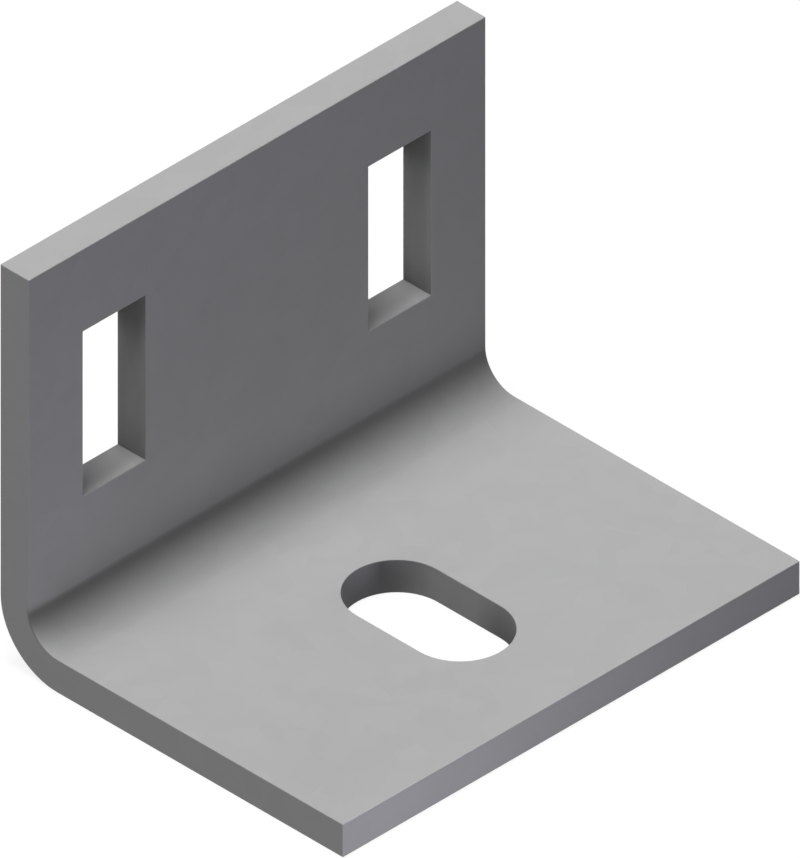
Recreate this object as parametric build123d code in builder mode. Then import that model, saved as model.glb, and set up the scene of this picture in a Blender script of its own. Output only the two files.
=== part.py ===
from build123d import *
import os

# Cable ladder support bracket: one steel plate, pierced flat and folded once into an L.
# All sizes are in millimetres.
# X runs along the width, the base reaches forward to -Y, and the upright stands at the back, at +Y.
# The origin is on the underside, at the middle of the width and of the depth.

# Plate
bracket_width = 80.0
base_depth = 60.0
upright_height = 60.0
plate_thickness = 5.0
inner_bend_radius = 5.0

# Small radius left on every cut edge by deburring and by the zinc coat
edge_radius = 0.1

# Round-ended slot in the base, for one bolt, with its length along the depth
base_slot_width = 14.0
base_slot_length = 25.0
base_slot_from_back = 35.0

# Square-cornered slots in the upright, side by side, with their length upright
upright_slot_count = 2
upright_slot_width = 11.0
upright_slot_length = 25.0
upright_slot_spacing = 50.0
upright_slot_from_underside = 35.0

# Where the two legs lie
base_front_y = -base_depth / 2
upright_back_y = base_depth / 2
upright_front_y = upright_back_y - plate_thickness

with BuildPart() as support_bracket:
    # The plate follows its inner face from the base's free edge, round the fold, to the upright's top.
    # The thickness lies outside that line, so the outer bend is the inner one plus the plate.
    with BuildSketch(Plane.YZ):
        with BuildLine():
            FilletPolyline(
                (base_front_y, plate_thickness),
                (upright_front_y, plate_thickness),
                (upright_front_y, upright_height),
                radius=inner_bend_radius,
            )
            offset(amount=plate_thickness, side=Side.RIGHT)
        make_face()
    extrude(amount=bracket_width / 2, both=True)

    # The slot in the base is cut down from the base's top face.
    with BuildSketch(Plane.XY.offset(plate_thickness)):
        with Locations((0, upright_back_y - base_slot_from_back)):
            SlotOverall(base_slot_length, base_slot_width, rotation=90)
    extrude(amount=-plate_thickness, mode=Mode.SUBTRACT)

    # The slots in the upright are cut back from its front face.
    with BuildSketch(Plane.XZ.offset(-upright_front_y)):
        with Locations((0, upright_slot_from_underside)):
            with GridLocations(upright_slot_spacing, 0, upright_slot_count, 1):
                Rectangle(upright_slot_width, upright_slot_length)
    extrude(amount=-plate_thickness, mode=Mode.SUBTRACT)

    # Every outer edge of the plate and every slot mouth is slightly rounded.
    left_end = support_bracket.faces().sort_by(Axis.X)[0]
    right_end = support_bracket.faces().sort_by(Axis.X)[-1]
    base_front = support_bracket.faces().sort_by(Axis.Y)[0]
    upright_top = support_bracket.faces().sort_by(Axis.Z)[-1]
    outer_edges = ShapeList([left_end, right_end, base_front, upright_top]).edges()
    slot_mouths = ShapeList(
        edge
        for face in support_bracket.faces()
        for mouth in face.inner_wires()
        for edge in mouth.edges()
    )
    fillet(outer_edges + slot_mouths, radius=edge_radius)

support_bracket.part.label = "support_bracket"

os.makedirs("parts", exist_ok=True)
export_step(support_bracket.part, "parts/support_bracket.step")
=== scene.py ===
import math

import bpy
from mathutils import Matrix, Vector


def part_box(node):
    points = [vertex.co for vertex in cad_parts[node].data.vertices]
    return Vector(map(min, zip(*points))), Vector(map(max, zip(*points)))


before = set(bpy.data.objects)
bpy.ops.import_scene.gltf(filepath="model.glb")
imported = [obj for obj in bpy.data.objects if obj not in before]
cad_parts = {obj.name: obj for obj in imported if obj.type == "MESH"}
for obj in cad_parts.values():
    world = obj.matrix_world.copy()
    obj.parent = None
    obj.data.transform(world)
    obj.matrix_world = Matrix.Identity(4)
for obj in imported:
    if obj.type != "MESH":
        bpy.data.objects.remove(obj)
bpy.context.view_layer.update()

# A folded steel plate bracket, in metres, as the frame places it: X along the width, the base
# towards -Y, the upright at the back, and the underside on the floor at Z 0.
BRACKET = "support_bracket"
BRACKET_LOW, BRACKET_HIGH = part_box(BRACKET)

# The plate and its bend, which turns about a line along the width at BEND_Y and BEND_Z
PLATE_THICKNESS = 0.005
OUTER_BEND_RADIUS = 0.010
MIDDLE_BEND_RADIUS = OUTER_BEND_RADIUS - PLATE_THICKNESS / 2
BEND_Y = BRACKET_HIGH.y - OUTER_BEND_RADIUS
BEND_Z = BRACKET_LOW.z + OUTER_BEND_RADIUS

# The slots: one in the base, and two side by side in the upright, all of one length. Their places
# are those of their middles.
SLOT_LENGTH = 0.025
BASE_SLOT_FROM_BACK = 0.035
UPRIGHT_SLOT_FROM_UNDERSIDE = 0.035
UPRIGHT_SLOT_SPACING = 0.050

# The picture's frame, and the scale of the isometric drawing along each of its three axes
PICTURE_WIDTH = 800
PICTURE_HEIGHT = 858
PIXELS_PER_METRE_ON_AXIS = 6594.4

# Isometric view: equal angles to all three axes, which shortens each of them alike
CAMERA_BACK = Vector((-1.0, -1.0, 1.0)).normalized()
ISOMETRIC_SHORTENING = math.sqrt(2 / 3)
CAMERA_DISTANCE = 1.0
CAMERA_NEAREST = 0.01
CAMERA_FURTHEST = 10.0


def make_camera():
    """An orthographic camera that looks at the middle of the bracket from its left and front."""
    data = bpy.data.cameras.new("camera")
    data.type = "ORTHO"
    pixels_per_metre = PIXELS_PER_METRE_ON_AXIS / ISOMETRIC_SHORTENING
    data.ortho_scale = max(PICTURE_WIDTH, PICTURE_HEIGHT) / pixels_per_metre
    data.clip_start = CAMERA_NEAREST
    data.clip_end = CAMERA_FURTHEST
    camera = bpy.data.objects.new("camera", data)
    bpy.context.scene.collection.objects.link(camera)
    camera.location = (BRACKET_LOW + BRACKET_HIGH) / 2 + CAMERA_BACK * CAMERA_DISTANCE
    camera.rotation_euler = (-CAMERA_BACK).to_track_quat("-Z", "Y").to_euler()
    bpy.context.scene.camera = camera


class Nodes:
    """Adds nodes to one node tree and links them, so that a material reads as formulas."""

    def __init__(self, owner):
        owner.use_nodes = True
        self.tree = owner.node_tree
        self.tree.nodes.clear()

    def add(self, kind, inputs=None, **settings):
        """Adds a node. Its inputs are set to numbers, or linked to the outputs of other nodes."""
        node = self.tree.nodes.new(kind)
        for name, value in settings.items():
            setattr(node, name, value)
        for socket, value in (inputs or {}).items():
            self.set(node.inputs[socket], value)
        return node

    def set(self, socket, value):
        if isinstance(value, bpy.types.NodeSocket):
            self.tree.links.new(value, socket)
        else:
            socket.default_value = value

    def math(self, operation, *values):
        node = self.add("ShaderNodeMath", operation=operation)
        for socket, value in zip(node.inputs, values):
            self.set(socket, value)
        return node.outputs[0]

    def total(self, *values):
        sum_so_far = values[0]
        for value in values[1:]:
            sum_so_far = self.math("ADD", sum_so_far, value)
        return sum_so_far

    def product(self, *values):
        product_so_far = values[0]
        for value in values[1:]:
            product_so_far = self.math("MULTIPLY", product_so_far, value)
        return product_so_far

    def minus(self, value, other):
        return self.math("SUBTRACT", value, other)

    def at_least(self, value, least):
        return self.math("MAXIMUM", value, least)

    def at_most(self, value, most):
        return self.math("MINIMUM", value, most)

    def distance_from(self, value, middle):
        """How far a value lies from the middle given, on either side of it."""
        return self.math("ABSOLUTE", self.minus(value, middle))

    def within(self, value, middle, reach):
        """1 where a value lies no further from the middle than the reach given, and 0 elsewhere."""
        return self.math("COMPARE", value, middle, reach)

    def ramp(self, value, start, end, low, high, shape="LINEAR"):
        """Goes from low where the value is start to high where it is end, and stays level past both."""
        inputs = {"Value": value, "From Min": start, "From Max": end, "To Min": low, "To Max": high}
        return self.add("ShaderNodeMapRange", inputs, interpolation_type=shape).outputs["Result"]

    def spread(self, pattern, low, high):
        """Maps a pattern's 0 to 1 onto low to high."""
        return self.ramp(pattern, 0.0, 1.0, low, high)

    def vary(self, pattern, middle, by):
        """Maps a pattern's 0 to 1 onto values from the middle less by to the middle plus by."""
        return self.spread(pattern, middle - by, middle + by)

    def fade(self, distance, reach, power):
        """1 where the distance is nothing or less, and less and less past the reach given."""
        share = self.math("DIVIDE", self.at_least(distance, 0.0), reach)
        return self.math("EXPONENT", self.product(self.math("POWER", share, power), -1.0))

    def point(self, x, y, z):
        return self.add("ShaderNodeCombineXYZ", {"X": x, "Y": y, "Z": z}).outputs["Vector"]

    def parts(self, vector):
        """The outputs X, Y and Z of a vector."""
        return self.add("ShaderNodeSeparateXYZ", {"Vector": vector}).outputs

    def noise(self, place, scale, detail):
        inputs = {"Vector": place, "Scale": scale, "Detail": detail}
        return self.add("ShaderNodeTexNoise", inputs).outputs["Fac"]


def sheet_coordinates(nodes):
    """Where a point lies on the plate before it was folded: along the width, along the blank, and
    its depth below the outer skin. A pattern drawn in these follows the plate round the fold."""
    place = nodes.parts(nodes.add("ShaderNodeTexCoord").outputs["Object"])
    past_bend = nodes.at_least(nodes.minus(place["Y"], BEND_Y), 0.0)
    under_bend = nodes.at_least(nodes.minus(BEND_Z, place["Z"]), 0.0)
    turn = nodes.math("ARCTAN2", past_bend, under_bend)
    squares = nodes.total(nodes.math("POWER", past_bend, 2.0), nodes.math("POWER", under_bend, 2.0))
    depth = nodes.minus(OUTER_BEND_RADIUS, nodes.math("SQRT", squares))
    on_base = nodes.at_most(place["Y"], BEND_Y)
    on_bend = nodes.product(turn, MIDDLE_BEND_RADIUS)
    on_upright = nodes.at_least(nodes.minus(place["Z"], BEND_Z), 0.0)
    return place["X"], nodes.total(on_base, on_bend, on_upright), depth


# Painted shade in the hollow of the fold, where the crease is shaded, darkest a little below the
# upright. It fades softly down the bend, with a faint tail as far as the base, and ends more sharply
# towards the upright. It is strongest between the left end and the middle, and its upper side is wider
# away from the left end. It takes a little more of the blue than of the rest.
UPRIGHT_START = BEND_Y + math.radians(90) * MIDDLE_BEND_RADIUS
FOLD_SHADE_DARKEST = BEND_Y + math.radians(75.7) * MIDDLE_BEND_RADIUS
FOLD_SHADE_STRENGTH = 0.667
FOLD_SHADE_LOSS_AT_LEFT_END = 0.06
FOLD_SHADE_LOSS_WIDTH = 0.008
FOLD_SHADE_LOSS_AT_RIGHT_END = 0.06
FOLD_SHADE_WIDTH_DOWN = 0.005
FOLD_SHADE_POWER_DOWN = 1.6
SHADE_TAIL_SHARE = 0.08
SHADE_TAIL_WIDTH = 0.011
SHADE_TAIL_POWER = 30.0
FOLD_SHADE_WIDTH_UP_AT_LEFT_END = 0.00175
FOLD_SHADE_WIDTH_UP = 0.0025
FOLD_SHADE_POWER_UP = 2.7
FOLD_SHADE_GROWTH = 0.025
FOLD_SHADE_WARMTH = 0.04
SKIN_DEPTH = 0.0005

# Painted shade on the upright above the fold's painted shade: a line close to the fold, and a faint
# veil that reaches far up.
# Each grows from nothing at the left end, and the veil thins again towards the right end.
LINE_STRENGTH = 0.26
LINE_HEIGHT = 0.003
LINE_POWER = 1.0
LINE_GROWTH = 0.0072
VEIL_STRENGTH = 0.14
VEIL_LOSS_AT_RIGHT_END = 0.015
VEIL_HEIGHT = 0.045
VEIL_POWER = 3.0


def from_left_end(nodes, width, growth, at_end, full):
    """Goes smoothly from one value at the left end to another at the distance given from it."""
    return nodes.ramp(width, BRACKET_LOW.x, BRACKET_LOW.x + growth, at_end, full, "SMOOTHSTEP")


def towards_right_end(nodes, width, loss):
    """Grows smoothly from nothing at the middle of the width to the loss given at the right end."""
    return nodes.ramp(width, 0.0, BRACKET_HIGH.x, 0.0, loss, "SMOOTHSTEP")


def upright_painted_shade(nodes, width, height):
    """The line and the veil of painted shade on the upright, by height above its start. Below that, they
    are full.
    """
    line = nodes.product(
        nodes.fade(height, LINE_HEIGHT, LINE_POWER),
        from_left_end(nodes, width, LINE_GROWTH, 0.0, LINE_STRENGTH),
    )
    veil_strength = nodes.minus(
        from_left_end(nodes, width, FOLD_SHADE_GROWTH, 0.0, VEIL_STRENGTH),
        towards_right_end(nodes, width, VEIL_LOSS_AT_RIGHT_END),
    )
    return nodes.total(line, nodes.product(nodes.fade(height, VEIL_HEIGHT, VEIL_POWER), veil_strength))


def painted_fold_shade(nodes, width, along, depth):
    """The share of its brightness that the plate loses to painted shade in the fold and on the upright
    above it, on its inner skin.
    """
    at_left_end = FOLD_SHADE_STRENGTH - FOLD_SHADE_LOSS_AT_LEFT_END
    strength = nodes.minus(
        from_left_end(nodes, width, FOLD_SHADE_LOSS_WIDTH, at_left_end, FOLD_SHADE_STRENGTH),
        towards_right_end(nodes, width, FOLD_SHADE_LOSS_AT_RIGHT_END),
    )
    above = nodes.minus(along, FOLD_SHADE_DARKEST)
    width_up = from_left_end(nodes, width, FOLD_SHADE_GROWTH, FOLD_SHADE_WIDTH_UP_AT_LEFT_END, FOLD_SHADE_WIDTH_UP)
    core = nodes.product(nodes.fade(above, width_up, FOLD_SHADE_POWER_UP), strength)
    # Painted shade: the fold's dark band, and above it the painted shade on the upright
    fold_shade = nodes.at_least(core, upright_painted_shade(nodes, width, nodes.minus(along, UPRIGHT_START)))

    below = nodes.minus(FOLD_SHADE_DARKEST, along)
    soft = nodes.product(nodes.fade(below, FOLD_SHADE_WIDTH_DOWN, FOLD_SHADE_POWER_DOWN), 1.0 - SHADE_TAIL_SHARE)
    tail = nodes.product(nodes.fade(below, SHADE_TAIL_WIDTH, SHADE_TAIL_POWER), SHADE_TAIL_SHARE)
    skin = nodes.ramp(depth, PLATE_THICKNESS - SKIN_DEPTH, PLATE_THICKNESS, 0.0, 1.0)
    return nodes.product(fold_shade, nodes.total(soft, tail), skin)


# Where the slots lie along the unfolded plate, and across it from the middle of the width
BASE_SLOT_MIDDLE = BRACKET_HIGH.y - BASE_SLOT_FROM_BACK
UPRIGHT_SLOT_MIDDLE = UPRIGHT_START + UPRIGHT_SLOT_FROM_UNDERSIDE - OUTER_BEND_RADIUS
UPRIGHT_SLOT_TOP = UPRIGHT_SLOT_MIDDLE + SLOT_LENGTH / 2
UPRIGHT_SLOT_BOTTOM = UPRIGHT_SLOT_MIDDLE - SLOT_LENGTH / 2
UPRIGHT_SLOT_X = UPRIGHT_SLOT_SPACING / 2

# How far the slots' painted shading reaches past their ends, and how far it keeps from the plate's two
# skins
MARGIN = 0.0001

# Painted shade inside a slot, where its walls shade one another, is placed by its distance inwards
# from the plate's inner skin. Values below 0 are painted highlights. What grows with a distance does
# so by the share given for each metre of it.

# On the upright slots' walls the painted shade is darkest under the top, which shades the wall, and
# again above the bottom. Under the top it grows inwards. All of this is a little darker in the right
# slot.
TOP_SHADE = 0.33
TOP_SHADE_INWARDS = 55.0
TOP_SHADE_HEIGHT = 0.0063
TOP_SHADE_POWER = 4.0
BOTTOM_SHADE = 0.33
BOTTOM_SHADE_HEIGHT = 0.004
BOTTOM_SHADE_POWER = 1.5
RIGHT_SLOT_SHADE = 1.2

# A little more painted shade lies along these walls' back rims.
RIM_SHADE_LEFT = 0.10
RIM_SHADE_RIGHT = 0.18
RIM_START = 0.0032
RIM_END = 0.0046

# Near the middle of their height and depth these walls get a painted highlight, more so in the left
# slot.
WALL_HIGHLIGHT_LEFT = 0.36
WALL_HIGHLIGHT_RIGHT = 0.08
WALL_HIGHLIGHT_MIDDLE = UPRIGHT_SLOT_MIDDLE + 0.0005
WALL_HIGHLIGHT_UP = 0.004
WALL_HIGHLIGHT_UP_POWER = 2.5
WALL_HIGHLIGHT_DOWN = 0.007
WALL_HIGHLIGHT_DOWN_POWER = 1.6
WALL_HIGHLIGHT_INWARDS = 0.0024
WALL_HIGHLIGHT_REACH = 0.0015
WALL_HIGHLIGHT_POWER = 3.0

# On the upright slots' sills painted shade grows towards the back and the left end of each, where the
# slot's walls shade the sill. Towards the front and the right end the sill gets a painted highlight,
# most of all along a line near the front, and the right end itself is painted a little darker.
SILL_SHADE_AT_MIDDLE = -0.215
SILL_SHADE_TO_BACK = 150.0
SILL_SHADE_TO_LEFT = 65.0
SILL_SHADE_MOST = 0.45
SILL_HIGHLIGHT_MOST = 0.42
SILL_LINE_LEFT = 0.04
SILL_LINE_RIGHT = 0.09
SILL_LINE_INWARDS = 0.0012
SILL_LINE_REACH = 0.001
SILL_LINE_POWER = 2.0
SILL_END_SHADE = 0.16
SILL_END_START = 0.0037
SILL_END_END = 0.0055

# On the base slot's wall painted shade grows towards both ends. The starts and ends are distances
# from the slot's middle. At the front it grows inwards. The tip at the back is free of this painted
# shade, and gets a painted highlight near its upper lip.
FRONT_SHADE = 0.50
FRONT_SHADE_START = 0.0013
FRONT_SHADE_END = 0.0090
FRONT_SHADE_INWARDS = 120.0
BACK_SHADE = 0.36
BACK_SHADE_START = 0.0063
BACK_SHADE_END = 0.0114
TIP_START = 0.0117
TIP_END = 0.0125
TIP_HIGHLIGHT_AT_LIP = 0.62
TIP_SHADE_BELOW = 0.12
TIP_HEIGHT = 0.004

# The base slot's right side is painted a little darker at its top and gets a painted highlight at
# its foot. Its four places along the slot are distances behind the slot's middle.
SIDE_SHADE_AT_TOP = 0.10
SIDE_HIGHLIGHT_AT_FOOT = 0.18
SIDE_TOP = 0.0005
SIDE_FOOT = 0.0042
SIDE_START_X = 0.003
SIDE_END_X = 0.0065
SIDE_FRONT_START = -0.004
SIDE_FRONT_END = -0.001
SIDE_BACK_START = 0.0085
SIDE_BACK_END = 0.0110


def in_each_slot(nodes, width, left, right):
    """One value in the left upright slot and another in the right one."""
    return nodes.ramp(width, -UPRIGHT_SLOT_X, UPRIGHT_SLOT_X, left, right)


def upright_wall_painted_shading(nodes, width, along, inwards):
    # Painted shade under the slot's top and above its bottom, and a painted highlight near the middle of
    # the wall
    under_top = nodes.minus(UPRIGHT_SLOT_TOP, along)
    over_bottom = nodes.minus(along, UPRIGHT_SLOT_BOTTOM)
    top_strength = nodes.total(TOP_SHADE, nodes.product(inwards, TOP_SHADE_INWARDS))
    painted_shading = nodes.total(
        nodes.product(nodes.fade(under_top, TOP_SHADE_HEIGHT, TOP_SHADE_POWER), top_strength),
        nodes.product(nodes.fade(over_bottom, BOTTOM_SHADE_HEIGHT, BOTTOM_SHADE_POWER), BOTTOM_SHADE),
    )
    painted_shading = nodes.product(painted_shading, in_each_slot(nodes, width, 1.0, RIGHT_SLOT_SHADE))
    rim = nodes.product(
        nodes.ramp(inwards, RIM_START, RIM_END, 0.0, 1.0),
        in_each_slot(nodes, width, RIM_SHADE_LEFT, RIM_SHADE_RIGHT),
    )
    above = nodes.minus(along, WALL_HIGHLIGHT_MIDDLE)
    below = nodes.minus(WALL_HIGHLIGHT_MIDDLE, along)
    off_middle = nodes.distance_from(inwards, WALL_HIGHLIGHT_INWARDS)
    painted_highlight = nodes.product(
        in_each_slot(nodes, width, WALL_HIGHLIGHT_LEFT, WALL_HIGHLIGHT_RIGHT),
        nodes.fade(above, WALL_HIGHLIGHT_UP, WALL_HIGHLIGHT_UP_POWER),
        nodes.fade(below, WALL_HIGHLIGHT_DOWN, WALL_HIGHLIGHT_DOWN_POWER),
        nodes.fade(off_middle, WALL_HIGHLIGHT_REACH, WALL_HIGHLIGHT_POWER),
    )
    return nodes.minus(nodes.total(painted_shading, rim), painted_highlight)


def sill_painted_shading(nodes, width, inwards):
    # Painted shade growing towards the sill's back and left, and painted highlights towards its front
    # and right
    slot_middle = nodes.product(nodes.math("SIGN", width), UPRIGHT_SLOT_X)
    sideways = nodes.minus(width, slot_middle)
    slope = nodes.total(
        SILL_SHADE_AT_MIDDLE,
        nodes.product(inwards, SILL_SHADE_TO_BACK),
        nodes.product(sideways, -SILL_SHADE_TO_LEFT),
    )
    off_line = nodes.distance_from(inwards, SILL_LINE_INWARDS)
    line = nodes.product(
        nodes.fade(off_line, SILL_LINE_REACH, SILL_LINE_POWER),
        in_each_slot(nodes, width, SILL_LINE_LEFT, SILL_LINE_RIGHT),
    )
    painted_shading = nodes.at_most(nodes.at_least(nodes.minus(slope, line), -SILL_HIGHLIGHT_MOST), SILL_SHADE_MOST)
    return nodes.total(painted_shading, nodes.ramp(sideways, SILL_END_START, SILL_END_END, 0.0, SILL_END_SHADE))


def base_slot_painted_shading(nodes, width, along, inwards):
    # Painted shade towards the slot's ends, and painted highlights at the tip's lip and at the right
    # side's foot
    behind = nodes.minus(along, BASE_SLOT_MIDDLE)
    front = nodes.product(
        nodes.ramp(behind, -FRONT_SHADE_START, -FRONT_SHADE_END, 0.0, FRONT_SHADE),
        nodes.total(1.0, nodes.product(inwards, FRONT_SHADE_INWARDS)),
    )
    tip = nodes.ramp(behind, TIP_START, TIP_END, 0.0, 1.0)
    tip_shading = nodes.ramp(inwards, 0.0, TIP_HEIGHT, -TIP_HIGHLIGHT_AT_LIP, TIP_SHADE_BELOW)
    back = nodes.product(
        nodes.ramp(behind, BACK_SHADE_START, BACK_SHADE_END, 0.0, BACK_SHADE),
        nodes.minus(1.0, tip),
    )
    side = nodes.product(
        nodes.ramp(inwards, SIDE_TOP, SIDE_FOOT, SIDE_SHADE_AT_TOP, -SIDE_HIGHLIGHT_AT_FOOT),
        nodes.ramp(width, SIDE_START_X, SIDE_END_X, 0.0, 1.0),
        nodes.ramp(behind, SIDE_FRONT_START, SIDE_FRONT_END, 0.0, 1.0),
        nodes.ramp(behind, SIDE_BACK_START, SIDE_BACK_END, 1.0, 0.0),
    )
    return nodes.total(front, back, nodes.product(tip, tip_shading), side)


def slot_painted_shading(nodes, width, along, depth):
    """The share of its brightness that the plate loses to painted shade, less what painted highlights
    add, inside the slots alone.
    """
    inwards = nodes.minus(PLATE_THICKNESS, depth)
    normal = nodes.add("ShaderNodeNewGeometry").outputs["Normal"]
    upwards = nodes.at_least(nodes.parts(normal)["Z"], 0.0)
    on_sills = nodes.product(sill_painted_shading(nodes, width, inwards), upwards)
    on_walls = nodes.product(upright_wall_painted_shading(nodes, width, along, inwards), nodes.minus(1.0, upwards))
    in_upright = nodes.within(along, UPRIGHT_SLOT_MIDDLE, SLOT_LENGTH / 2 + MARGIN)
    in_base = nodes.within(along, BASE_SLOT_MIDDLE, SLOT_LENGTH / 2 + MARGIN)
    painted_shading = nodes.total(
        nodes.product(nodes.total(on_sills, on_walls), in_upright),
        nodes.product(base_slot_painted_shading(nodes, width, along, inwards), in_base),
    )
    off_end_faces = nodes.within(width, 0.0, BRACKET_HIGH.x - PLATE_THICKNESS)
    between_skins = nodes.within(depth, PLATE_THICKNESS / 2, PLATE_THICKNESS / 2 - MARGIN)
    return nodes.product(painted_shading, off_end_faces, between_skins)


# Dull zinc coat, in linear colour. Its grey varies a little in soft mottles and in crystal spangles,
# which also change its gloss. Its grain is drawn with the depth scaled down, so that it runs as lines
# across the thickness on a cut edge.
ZINC_GREY = 0.45
ZINC_ROUGHNESS = 0.55
ZINC_SPECULAR = 0.15
MOTTLE_SCALE = 90.0
MOTTLE_DETAIL = 4.0
MOTTLE_CHANGE = 0.03
SPANGLE_SCALE = 300.0
SPANGLE_CHANGE = 0.02
SPANGLE_ROUGHNESS_CHANGE = 0.05
GRAIN_SCALE = 2400.0
GRAIN_DETAIL = 3.0
GRAIN_DEPTH_SCALE = 0.1
GRAIN_HEIGHT = 0.00001
GRAIN_STRENGTH = 0.3


def galvanised_steel():
    material = bpy.data.materials.new("galvanised_steel")
    nodes = Nodes(material)
    width, along, depth = sheet_coordinates(nodes)
    place = nodes.point(width, along, depth)
    mottle = nodes.noise(place, MOTTLE_SCALE, MOTTLE_DETAIL)
    crystals = nodes.add("ShaderNodeTexVoronoi", {"Vector": place, "Scale": SPANGLE_SCALE})
    spangle = nodes.add("ShaderNodeSeparateColor", {"Color": crystals.outputs["Color"]}).outputs["Red"]
    grain_place = nodes.point(width, along, nodes.product(depth, GRAIN_DEPTH_SCALE))
    grain = nodes.noise(grain_place, GRAIN_SCALE, GRAIN_DETAIL)

    # Painted shade in the fold and on the upright, and painted shade and highlights inside the slots,
    # change the coat's grey
    fold_shade = painted_fold_shade(nodes, width, along, depth)
    painted_shading = slot_painted_shading(nodes, width, along, depth)
    shade = nodes.product(
        ZINC_GREY,
        nodes.vary(mottle, 1.0, MOTTLE_CHANGE),
        nodes.vary(spangle, 1.0, SPANGLE_CHANGE),
        nodes.minus(1.0, fold_shade),
        nodes.minus(1.0, painted_shading),
    )
    # The fold's painted shade takes a little more of the blue than of the rest
    blue = nodes.product(shade, nodes.spread(fold_shade, 1.0, 1.0 - FOLD_SHADE_WARMTH / FOLD_SHADE_STRENGTH))
    colour = nodes.add("ShaderNodeCombineColor", {"Red": shade, "Green": shade, "Blue": blue})
    bump_inputs = {"Height": grain, "Distance": GRAIN_HEIGHT, "Strength": GRAIN_STRENGTH}
    bump = nodes.add("ShaderNodeBump", bump_inputs)
    shader_inputs = {
        "Base Color": colour.outputs["Color"],
        "Roughness": nodes.vary(spangle, ZINC_ROUGHNESS, SPANGLE_ROUGHNESS_CHANGE),
        "Metallic": 0.0,
        "Specular IOR Level": ZINC_SPECULAR,
        "Normal": bump.outputs["Normal"],
    }
    shader = nodes.add("ShaderNodeBsdfPrincipled", shader_inputs)
    nodes.add("ShaderNodeOutputMaterial", {"Surface": shader.outputs["BSDF"]})
    return material


WHITE = (1.0, 1.0, 1.0)


def opaque(colour):
    return (*colour, 1.0)


def seen_directly(nodes):
    """1 for rays from the camera and for reflections, 0 for rays that only carry light."""
    path = nodes.add("ShaderNodeLightPath").outputs
    seen = nodes.at_least(path["Is Camera Ray"], path["Is Glossy Ray"])
    return nodes.at_least(seen, path["Is Transmission Ray"])


# Floor, seen as white with a faint shadow, and dark to the light that it would throw back up
FLOOR_SIZE = 6.0
FLOOR_DROP = 0.00005
FLOOR_GLOW = 0.88
FLOOR_SHOWN = (0.14, 0.14, 0.14)
FLOOR_BOUNCE = (0.15, 0.15, 0.15)


def make_floor():
    mesh = bpy.data.meshes.new("floor")
    half = FLOOR_SIZE / 2
    corners = [(-half, -half), (half, -half), (half, half), (-half, half)]
    mesh.from_pydata([(x, y, -FLOOR_DROP) for x, y in corners], [], [(0, 1, 2, 3)])
    floor = bpy.data.objects.new("floor", mesh)
    bpy.context.scene.collection.objects.link(floor)
    material = bpy.data.materials.new("floor")
    nodes = Nodes(material)
    bounce = nodes.add("ShaderNodeBsdfDiffuse", {"Color": opaque(FLOOR_BOUNCE)})
    shown = nodes.add("ShaderNodeBsdfDiffuse", {"Color": opaque(FLOOR_SHOWN)})
    glow = nodes.add("ShaderNodeEmission", {"Strength": FLOOR_GLOW})
    white = nodes.add("ShaderNodeAddShader", {0: shown.outputs[0], 1: glow.outputs[0]})
    inputs = {0: seen_directly(nodes), 1: bounce.outputs[0], 2: white.outputs[0]}
    surface = nodes.add("ShaderNodeMixShader", inputs)
    nodes.add("ShaderNodeOutputMaterial", {"Surface": surface.outputs[0]})
    mesh.materials.append(material)


# Room, seen as white, and the little light that it gives from all round
ROOM_LIGHT = 0.035


def make_room():
    world = bpy.data.worlds.new("room")
    bpy.context.scene.world = world
    nodes = Nodes(world)
    light = nodes.add("ShaderNodeBackground", {"Color": opaque(WHITE), "Strength": ROOM_LIGHT})
    white = nodes.add("ShaderNodeBackground", {"Color": opaque(WHITE), "Strength": 1.0})
    inputs = {0: seen_directly(nodes), 1: light.outputs[0], 2: white.outputs[0]}
    surface = nodes.add("ShaderNodeMixShader", inputs)
    nodes.add("ShaderNodeOutputWorld", {"Surface": surface.outputs[0]})


def add_light(name, data, place, towards):
    """Puts a light at a place, out of sight, to shine against the direction given."""
    light = bpy.data.objects.new(name, data)
    bpy.context.scene.collection.objects.link(light)
    light.location = place
    light.rotation_euler = (-Vector(towards)).to_track_quat("-Z", "Y").to_euler()
    light.visible_camera = False
    light.visible_glossy = False


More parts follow.
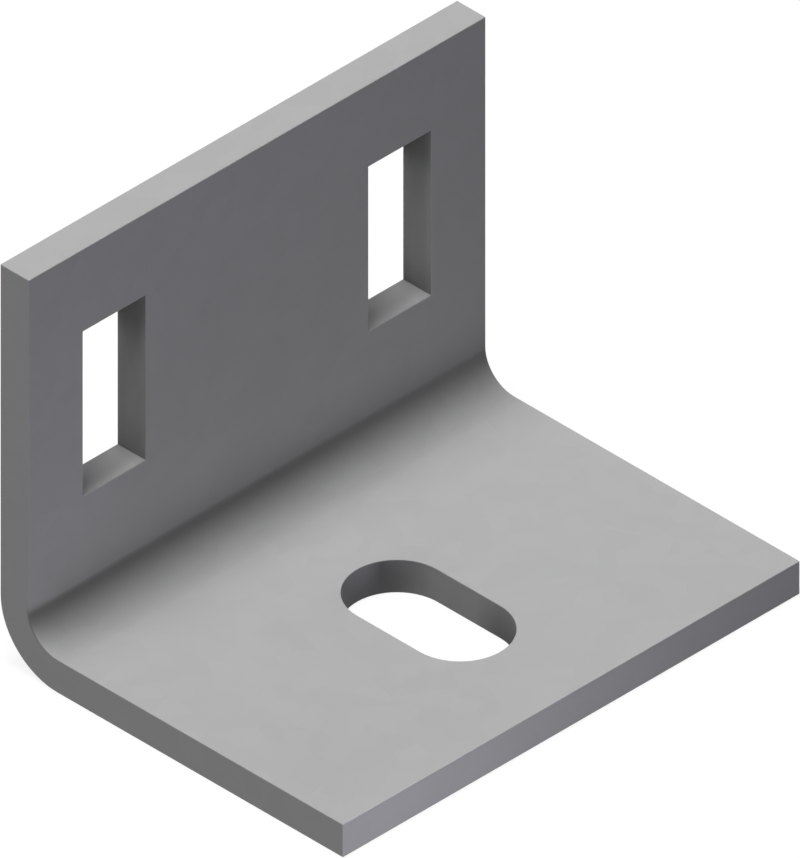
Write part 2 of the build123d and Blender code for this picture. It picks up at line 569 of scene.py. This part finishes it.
# Far lights: a broad key overhead and to the left with a smaller core straight above, and low ones
# from the left, the front, the right and the back
LOW_LIGHT_RISE = 0.14
SOFT_LIGHTS = {
    "key": dict(towards=(-0.2, -0.01, 1.0), width=30, level=0.55, colour=WHITE),
    "core": dict(towards=(0.0, 0.04, 1.0), width=15, level=0.34, colour=WHITE),
    "left": dict(towards=(-1.0, 0.0, LOW_LIGHT_RISE), width=16, level=0.10, colour=WHITE),
    "front": dict(towards=(0.0, -1.0, LOW_LIGHT_RISE), width=16, level=0.026, colour=(0.3, 0.25, 1.0)),
    "right": dict(towards=(1.0, 0.0, LOW_LIGHT_RISE), width=16, level=0.20, colour=WHITE),
    "back": dict(towards=(0.0, 1.0, LOW_LIGHT_RISE), width=16, level=0.20, colour=WHITE),
}

# Far lights shine alike from any place, so they all hang at this one.
FAR_LIGHT_PLACE = (0, 0, 1)


def soft_light(name, towards, width, level, colour):
    """A soft light far off in one direction. Its width is the angle that it fills, in degrees, and
    its level is how bright it makes a white face that looks at it."""
    data = bpy.data.lights.new(name, "SUN")
    data.angle = math.radians(width)
    data.energy = level * math.pi
    data.color = colour
    add_light(name, data, FAR_LIGHT_PLACE, towards)


# Small round lamp close to the floor near the left front corner, which shines towards the back. Its
# middle lies lower than the base's top, so that it lights little but the faces towards the front.
CORNER_LAMP_PLACE = (BRACKET_LOW.x - 0.002, BRACKET_LOW.y - 0.080, 0.003)
CORNER_LAMP_TOWARDS = (0, -1, 0)
CORNER_LAMP_SIZE = 0.005
CORNER_LAMP_BRIGHTNESS = 440.0
CORNER_LAMP_COLOUR = (0.98, 0.98, 1.06)


def corner_lamp():
    """The lamp's power is its brightness times pi times its area."""
    area = math.pi * (CORNER_LAMP_SIZE / 2) ** 2
    data = bpy.data.lights.new("corner", "AREA")
    data.shape = "DISK"
    data.size = CORNER_LAMP_SIZE
    data.energy = CORNER_LAMP_BRIGHTNESS * math.pi * area
    data.color = CORNER_LAMP_COLOUR
    add_light("corner", data, CORNER_LAMP_PLACE, CORNER_LAMP_TOWARDS)


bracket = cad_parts[BRACKET]
bracket.material_slots[0].material = galvanised_steel()
make_camera()
make_floor()
make_room()
for name, settings in SOFT_LIGHTS.items():
    soft_light(name, **settings)
corner_lamp()
bpy.context.scene.view_settings.view_transform = "Standard"
